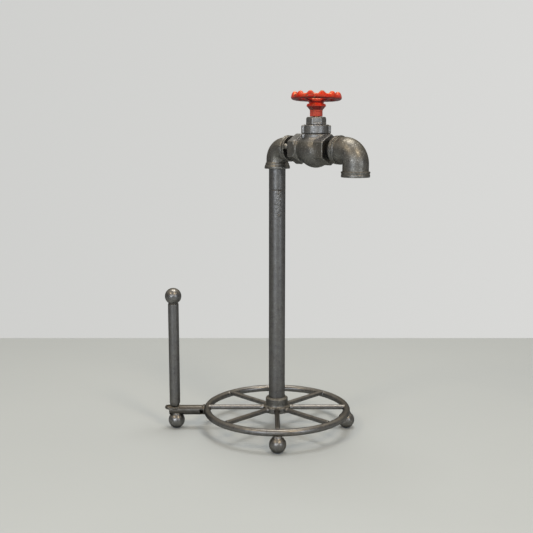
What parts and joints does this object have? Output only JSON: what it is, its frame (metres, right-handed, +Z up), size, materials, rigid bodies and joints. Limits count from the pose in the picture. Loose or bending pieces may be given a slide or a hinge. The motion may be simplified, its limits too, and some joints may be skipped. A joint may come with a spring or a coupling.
{
  "type": "paper towel holder",
  "caption": "Countertop paper towel holder made of pipe fittings: spoked ring base on ball feet, tear rod arm, upright pipe and a lift-off faucet head with a red handwheel.",
  "frame": {"origin": "on the upright pipe's axis, in the plane the four ball feet stand on", "axes": "+Z up along the upright pipe, -X along the tear rod's arm, -Y to the front foot"},
  "size_m": [0.2571, 0.2148, 0.4395],
  "materials": {
    "dark_rod_steel": "dark gunmetal, satin, slightly brown",
    "dark_pipe_steel": "dark pewter grey, satin",
    "dark_cast_iron": "rough casting, pewter grey with warm brown highlights",
    "dark_ball_steel": "dark gunmetal, semi-gloss",
    "brown_tube_steel": "brown gunmetal, satin",
    "black_thread_steel": "dark, oily thread",
    "black_seal_rubber": "matt",
    "stem_brass": "dull",
    "worn_red_paint": "worn semi-gloss red paint, chipped to grey metal at the edges"
  },
  "bodies": {
    "base": {"base_ring": "dark_rod_steel", "spoke_front": "dark_rod_steel", "spoke_front_right": "dark_rod_steel", "spoke_right": "dark_rod_steel", "spoke_rear_right": "dark_rod_steel", "spoke_rear": "dark_rod_steel", "spoke_rear_left": "dark_rod_steel", "spoke_left": "dark_rod_steel", "spoke_front_left": "dark_rod_steel", "base_hub": "dark_cast_iron", "foot_front": "dark_ball_steel", "foot_right": "dark_ball_steel", "foot_rear": "dark_ball_steel", "foot_arm": "dark_ball_steel", "arm_tube": "brown_tube_steel", "tear_rod": "dark_pipe_steel", "tear_rod_ball": "dark_ball_steel", "upright_pipe": "dark_pipe_steel"},
    "pin": {"slip_pin": "black_thread_steel"},
    "head": {"riser_nipple": "dark_pipe_steel", "corner_elbow": "dark_cast_iron", "inlet_nipple": "black_thread_steel", "valve_body": "dark_cast_iron", "bonnet_gasket": "black_seal_rubber", "bonnet": "dark_cast_iron", "stem_packing": "black_seal_rubber", "packing_nut": "dark_cast_iron", "outlet_nipple": "black_thread_steel", "spout_elbow": "dark_cast_iron"},
    "disc": {"disc_holder": "stem_brass", "seat_washer": "black_seal_rubber", "washer_screw": "stem_brass"},
    "wheel": {"valve_stem": "stem_brass", "handwheel": "worn_red_paint", "wheel_washer": "dark_pipe_steel", "wheel_nut": "dark_pipe_steel"}
  },
  "joints": [
    {"name": "head_lift", "type": "slide", "parent": "base", "child": "pin", "axis": [0, 0, 1], "range_m": [0, 0.32]},
    {"name": "head_swivel", "type": "hinge", "parent": "pin", "child": "head", "pos_m": [0, 0, 0.32], "axis": [0, 0, 1], "continuous": true},
    {"name": "stem_rise", "type": "slide", "parent": "head", "child": "disc", "axis": [0, 0, 1], "range_m": [0, 0.0075]},
    {"name": "handwheel_turn", "type": "hinge", "parent": "disc", "child": "wheel", "pos_m": [0.04654, -0.0482, 0.4334], "axis": [0, 0, 1], "range_deg": [0, 900]}
  ],
  "couplings": [
    {"joint": "stem_rise", "follows": "handwheel_turn", "m_per_rad": 0.00047746}
  ]
}
